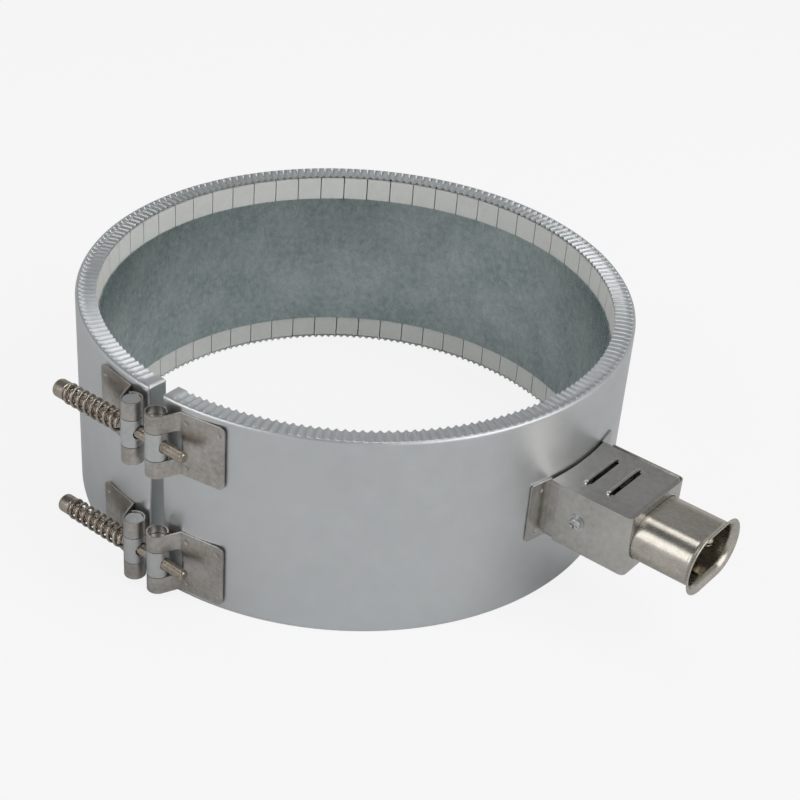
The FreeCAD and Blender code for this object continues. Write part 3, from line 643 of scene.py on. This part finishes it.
        def stand(section: np.ndarray, turn: np.ndarray) -> np.ndarray:
            """Section points carried round the axis.

            Args:
                section: each column's radii and heights.
                turn: each column's angle.

            Returns:
                The points.
            """
            radii, heights = section[..., 0], section[..., 1]
            return np.stack([radii * np.cos(turn)[:, None], radii * np.sin(turn)[:, None], heights], axis=-1)

        shell = np.concatenate([stand(outer, angles), stand(inner[:, ::-1], inner_angles)], axis=1)
        count, around = shell.shape[:2]
        rows = outer.shape[1]
        quads = grid_faces(count, around, False, True)
        caps = []
        for column, side in ((0, 1), (count - 1, -1)):
            base = column * around
            plate_points = [base + k for k in range(rows)]
            hollow = [base + k for k in range(rows, around)]
            caps.append(plate_points[::side])
            caps.append(hollow[::side])
            caps.append([base, base + rows - 1, base + rows, base + around - 1][::-side])
        piece = make_mesh("pleated_sheath", shell, quads[:, ::-1], caps, 50.0)
        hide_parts("outer_sheath")
        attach(piece, BAND)
        return dress(piece, Finish.SHEATH)

    def build(self) -> None:
        """Make the band's pieces and dress its solids."""
        made = self.sheath()
        LOG.info("%s has %d faces", made.name, len(made.data.polygons))
        dress_nodes(Finish.LINER, "inner_liner")
        dress_nodes(Finish.TILE, "ceramic_tiles")
        dress_nodes(Finish.FIBRE, "insulation_blanket")
        dress_nodes(Finish.WIRE, "heating_coil")
        dress_nodes(Finish.STRIP, "short_bus_strip", "long_bus_strip", "near_feed_strip", "far_feed_strip")


# ------------------------------------------------------------------------------ the clamps
class Place(Enum):
    """Where a clamp stands on the band."""

    UPPER = "upper"
    LOWER = "lower"


@dataclass
class Clamp:
    """One clamp: lugs, barrels, screw and spring.

    Attributes:
        place: upper or lower.
        wire: the spring's wire.
        turns: the spring's turns.
        dead_turns: turns that lie flat at each end.
        pitch: the screw's thread pitch.
        thread_depth: depth of the thread.
        spring_radius: the spring's outer radius.
        spring_steps: points along the wire in each turn.
        wire_sides: points round the wire.
        dead_rate: how fast a dead turn climbs, against a live one.
        head_length: length of the screw's head.
        head_dome: radius of the head's outer edge.
        head_seat: bevel of the head's inner edge.
        shank: the screw's radius.
        screw_sides: points round the screw.
        thread_steps: points along the screw in each pitch.
        socket_radius: radius inside the hexagon socket's flats.
        socket_rim: radius of the flat round the socket.
        socket_depth: depth of the hexagon socket.
        tip: length of the screw's plain tip.
    """

    place: Place
    wire: float = 1.5 * MM
    turns: float = 8.5
    dead_turns: float = 0.7
    pitch: float = 0.8 * MM
    thread_depth: float = 0.28 * MM
    spring_radius: float = 4.8 * MM
    spring_steps: int = 28
    wire_sides: int = 12
    dead_rate: float = 0.36
    head_length: float = 6.5 * MM
    head_dome: float = 1.5 * MM
    head_seat: float = 0.3 * MM
    shank: float = 2.5 * MM
    screw_sides: int = 28
    thread_steps: int = 8
    socket_radius: float = 2.0 * MM
    socket_rim: float = 2.35 * MM
    socket_depth: float = 3.5 * MM
    tip: float = 0.8 * MM

    def node(self, name: str) -> str:
        """Full name of one of this clamp's solids."""
        return f"{self.place.value}_{name}"

    def axis(self) -> tuple[float, float]:
        """The screw's place across X."""
        low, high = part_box(self.node("clamp_screw"))
        return (low[1] + high[1]) / 2, (low[2] + high[2]) / 2

    def spring(self) -> bpy.types.Object:
        """Wire carried along a helix that climbs slowly over its dead turns.

        Returns:
            The spring.
        """
        low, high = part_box(self.node("clamp_spring"))
        y, z = self.axis()
        steps, sides = self.spring_steps, self.wire_sides
        turn = np.linspace(0.0, self.turns, int(self.turns * steps) + 1)
        climb = np.clip(np.minimum(turn, self.turns - turn) / self.dead_turns, 0.0, 1.0)
        rate = self.dead_rate + (1 - self.dead_rate) * climb * climb * (3 - 2 * climb)
        run = np.concatenate([[0.0], np.cumsum((rate[1:] + rate[:-1]) / 2)])
        x = low[0] + self.wire / 2 + run / run[-1] * (high[0] - low[0] - self.wire)
        mean = self.spring_radius - self.wire / 2
        angle = 2 * HALF_TURN * turn
        path = np.stack([x, y + mean * np.cos(angle), z + mean * np.sin(angle)], axis=1)
        along = np.gradient(path, axis=0)
        along /= np.linalg.norm(along, axis=1, keepdims=True)
        spoke = np.stack([np.zeros_like(x), np.cos(angle), np.sin(angle)], axis=1)
        side = np.cross(along, spoke)
        around = np.linspace(0.0, 2 * HALF_TURN, sides, endpoint=False)
        tube = (path[:, None] + self.wire / 2 * (np.cos(around)[None, :, None] * spoke[:, None]
                                                 + np.sin(around)[None, :, None] * side[:, None]))
        quads = grid_faces(len(path), sides, False, True)
        last = (len(path) - 1) * sides
        caps = [list(range(sides))[::-1], [last + k for k in range(sides)]]
        piece = make_mesh(self.node("wound_spring"), tube, quads[:, ::-1], caps, 60.0)
        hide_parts(self.node("clamp_spring"))
        self.node("spring")
        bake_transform(piece)
        return dress(piece, Finish.SPRING)

    def screw(self) -> bpy.types.Object:
        """Socket screw turned about its axis.

        Its radius is a function of the way along, and on the threaded shank it falls by the thread's
        depth with a triangle wave that climbs one pitch a turn.

        Returns:
            The screw.
        """
        low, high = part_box(self.node("clamp_screw"))
        y, z = self.axis()
        sides = self.screw_sides
        head = (high[1] - low[1]) / 2
        shank, edge, bevel = self.shank, self.head_dome, self.head_seat
        seat = low[0] + self.head_length
        turn = np.radians(np.linspace(0.0, 90.0, 7))
        x_head = np.concatenate([low[0] + edge * (1 - np.sin(turn))[::-1], [seat - bevel, seat]])[1:]
        r_head = np.concatenate([head - edge * (1 - np.cos(turn))[::-1], [head, head - bevel]])[1:]
        x_thread = np.arange(seat, high[0] - self.tip, self.pitch / self.thread_steps)
        tip_radii = [shank - 0.3 * MM, shank - 0.7 * MM]
        x = np.concatenate([[low[0]], x_head, x_thread, [high[0] - self.tip / 2, high[0]]])
        r = np.concatenate([[self.socket_rim], r_head, np.full(len(x_thread), shank), tip_radii])
        is_thread = np.concatenate([np.zeros(1 + len(x_head)), np.ones(len(x_thread)), [0.0, 0.0]])
        around = np.linspace(0.0, 2 * HALF_TURN, sides, endpoint=False)
        wave = np.abs(((x[:, None] / self.pitch - around[None] / (2 * HALF_TURN)) % 1.0) * 2 - 1)
        radius = r[:, None] - self.thread_depth * wave * is_thread[:, None]
        points = np.stack([np.broadcast_to(x[:, None], radius.shape), y + radius * np.cos(around),
                           z + radius * np.sin(around)], axis=-1)
        corner = HALF_TURN / 3
        flat = self.socket_radius / np.cos((around + corner / 2) % corner - corner / 2)
        floor_x = low[0] + self.socket_depth
        hexagon = (y + flat * np.cos(around), z + flat * np.sin(around))
        levels = (floor_x, low[0] + 0.1 * MM)
        socket = [np.stack([np.full(sides, level), *hexagon], axis=-1) for level in levels]
        points = np.concatenate([np.stack(socket), points])
        quads = grid_faces(len(points), sides, False, True)
        last = (len(points) - 1) * sides
        caps = [list(range(sides))[::-1], [last + k for k in range(sides)]]
        piece = make_mesh(self.node("threaded_screw"), points, quads[:, ::-1], caps, 35.0)
        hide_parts(self.node("clamp_screw"))
        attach(piece, self.node("screw"))
        return dress(piece, Finish.SCREW)

    def build(self) -> None:
        """Make the clamp's pieces and dress its solids."""
        for made in (self.spring(), self.screw()):
            LOG.info("%s has %d faces", made.name, len(made.data.polygons))
        dress_nodes(Finish.LUG, self.node("right_lug"), self.node("left_lug"))
        dress_nodes(Finish.BARREL, self.node("right_barrel"), self.node("left_barrel"))


# ------------------------------------------------------------------------------ box and inlet
@dataclass
class TerminalBox:
    """Box on the sheath, with its brackets, screws and lead bushing."""

    def build(self) -> None:
        """Dress the box's solids."""
        dress_nodes(Finish.BOX, "terminal_cover", "terminal_channel", "near_terminal_bracket",
                    "far_terminal_bracket")
        dress_nodes(Finish.BARREL, "near_cover_screw", "far_cover_screw", "near_cover_washer",
                    "far_cover_washer")
        dress_nodes(Finish.INSULATOR, "lead_bushing")


@dataclass
class PlugInlet:
    """Shell, insulator, pins and earth strip."""

    def build(self) -> None:
        """Dress the inlet's solids."""
        dress_nodes(Finish.SHELL, "plug_shell")
        dress_nodes(Finish.INSULATOR, "plug_insulator")
        dress_nodes(Finish.PIN, "near_contact_pin", "far_contact_pin", "near_terminal_nut",
                    "far_terminal_nut", "earth_contact")


# ------------------------------------------------------------------------------ studio
@dataclass
class Studio:
    """Floor, lights and camera.

    Attributes:
        bearing: the camera's way round the object, in degrees from the +X axis.
        elevation: its height above the horizon, in degrees.
        roll: its roll, in degrees.
        distance: from the camera to where it aims.
        aim_right: aim from the middle of the band, to the right.
        aim_up: the same, upwards.
        lens: focal length on a 36 mm sensor.
        floor_reach: half the floor's width.
        floor_shade: the floor's own shade.
        floor_glow: how far the camera sees the floor as plain white.
    """

    bearing: float = -53.43
    elevation: float = 32.67
    roll: float = 4.76
    distance: float = 0.7962
    aim_right: float = 23.11 * MM
    aim_up: float = -11.59 * MM
    lens: float = 73.8
    floor_reach: float = 6.0
    floor_shade: float = 0.80
    floor_glow: float = 0.85

    def camera(self) -> None:
        """Stand the camera, aim it a little off the band's middle and roll it about its view."""
        a, e = math.radians(self.bearing), math.radians(self.elevation)
        back = Vector((math.cos(a) * math.cos(e), math.sin(a) * math.cos(e), math.sin(e)))
        level = Vector((-math.sin(a), math.cos(a), 0.0))
        upright = back.cross(level)
        c, s = math.cos(math.radians(self.roll)), math.sin(math.radians(self.roll))
        right = c * level + s * upright
        up = c * upright - s * level
        data = bpy.data.cameras.new("camera")
        data.lens = self.lens
        data.sensor_width = 36.0
        data.clip_start = 0.01
        camera = bpy.data.objects.new("camera", data)
        place = back * self.distance + right * self.aim_right + up * self.aim_up
        turn = Matrix((right, up, back)).transposed()
        camera.matrix_world = Matrix.Translation(place) @ turn.to_4x4()
        bpy.context.scene.collection.objects.link(camera)
        bpy.context.scene.camera = camera

    def floor(self) -> None:
        """Wide pale floor that shows white to the camera and keeps a soft shadow."""
        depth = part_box("outer_sheath")[0][2]
        half = self.floor_reach
        corners = np.array([[-half, -half, depth], [half, -half, depth],
                            [half, half, depth], [-half, half, depth]])
        floor = make_mesh("floor", corners, np.array([[0, 1, 2, 3]]), [])
        material = bpy.data.materials.new("studio_floor")
        material.use_nodes = True
        tree = material.node_tree
        tree.nodes.clear()
        output = tree.nodes.new("ShaderNodeOutputMaterial")
        matt = tree.nodes.new("ShaderNodeBsdfDiffuse")
        matt.inputs["Color"].default_value = (*[self.floor_shade] * 3, 1.0)
        glow = tree.nodes.new("ShaderNodeEmission")
        glow.inputs["Color"].default_value = (1.0, 1.0, 1.0, 1.0)
        glow.inputs["Strength"].default_value = 1.0
        path = tree.nodes.new("ShaderNodeLightPath")
        share = tree.nodes.new("ShaderNodeMath")
        share.operation = "MULTIPLY"
        share.inputs[1].default_value = self.floor_glow
        mix = tree.nodes.new("ShaderNodeMixShader")
        tree.links.new(path.outputs["Is Camera Ray"], share.inputs[0])
        tree.links.new(share.outputs[0], mix.inputs[0])
        tree.links.new(matt.outputs[0], mix.inputs[1])
        tree.links.new(glow.outputs[0], mix.inputs[2])
        tree.links.new(mix.outputs[0], output.inputs[0])
        floor.data.materials.append(material)

    def world(self) -> None:
        """Even pale surroundings, darker overhead, and plain white where the camera looks past the floor."""
        world = bpy.data.worlds.new("surroundings")
        bpy.context.scene.world = world
        world.use_nodes = True
        tree = world.node_tree
        tree.nodes.clear()
        output = tree.nodes.new("ShaderNodeOutputWorld")
        seen = tree.nodes.new("ShaderNodeBackground")
        seen.inputs["Color"].default_value = (1.0, 1.0, 1.0, 1.0)
        round_about = tree.nodes.new("ShaderNodeBackground")
        place = tree.nodes.new("ShaderNodeTexCoord")
        split = tree.nodes.new("ShaderNodeSeparateXYZ")
        ramp = tree.nodes.new("ShaderNodeValToRGB")
        ramp.color_ramp.elements[0].position = 0.0
        ramp.color_ramp.elements[0].color = (0.70, 0.70, 0.70, 1.0)
        ramp.color_ramp.elements[1].position = 0.75
        ramp.color_ramp.elements[1].color = (0.14, 0.145, 0.15, 1.0)
        path = tree.nodes.new("ShaderNodeLightPath")
        mix = tree.nodes.new("ShaderNodeMixShader")
        tree.links.new(place.outputs["Generated"], split.inputs[0])
        tree.links.new(split.outputs["Z"], ramp.inputs[0])
        tree.links.new(ramp.outputs[0], round_about.inputs["Color"])
        tree.links.new(path.outputs["Is Camera Ray"], mix.inputs[0])
        tree.links.new(round_about.outputs[0], mix.inputs[1])
        tree.links.new(seen.outputs[0], mix.inputs[2])
        tree.links.new(mix.outputs[0], output.inputs[0])

    def lamp(self, name: str, bearing: float, elevation: float, reach: float, size: float,
             power: float) -> None:
        """Add a square soft light that faces the object.

        Args:
            name: the lamp's name.
            bearing: its way round from the camera, in degrees; positive is to the right.
            elevation: its height above the horizon, in degrees.
            reach: its distance from the object.
            size: its width.
            power: its power in watts.
        """
        a, e = math.radians(self.bearing + bearing), math.radians(elevation)
        place = Vector((math.cos(a) * math.cos(e), math.sin(a) * math.cos(e), math.sin(e))) * reach
        data = bpy.data.lights.new(name, "AREA")
        data.shape = "SQUARE"
        data.size = size
        data.energy = power
        lamp = bpy.data.objects.new(name, data)
        lamp.location = place
        lamp.rotation_mode = "QUATERNION"
        lamp.rotation_quaternion = place.to_track_quat("Z", "Y")
        bpy.context.scene.collection.objects.link(lamp)

    def build(self) -> None:
        """Set up the studio."""
        self.camera()
        self.floor()
        self.world()
        self.lamp("key_softbox", bearing=62.0, elevation=40.0, reach=1.6, size=1.4, power=10.0)
        self.lamp("fill_softbox", bearing=-58.0, elevation=35.0, reach=1.6, size=1.0, power=5.0)
        self.lamp("top_softbox", bearing=160.0, elevation=70.0, reach=1.6, size=0.7, power=3.0)
        bpy.context.scene.view_settings.view_transform = "Standard"


def main() -> None:
    """Build every sub-assembly in order; the band and the clamps log their face counts."""
    logging.basicConfig(level=logging.INFO, format="%(name)s: %(message)s")
    Band().build()
    for place in Place:
        Clamp(place).build()
    TerminalBox().build()
    PlugInlet().build()
    Studio().build()


if __name__ == "__main__":
    main()
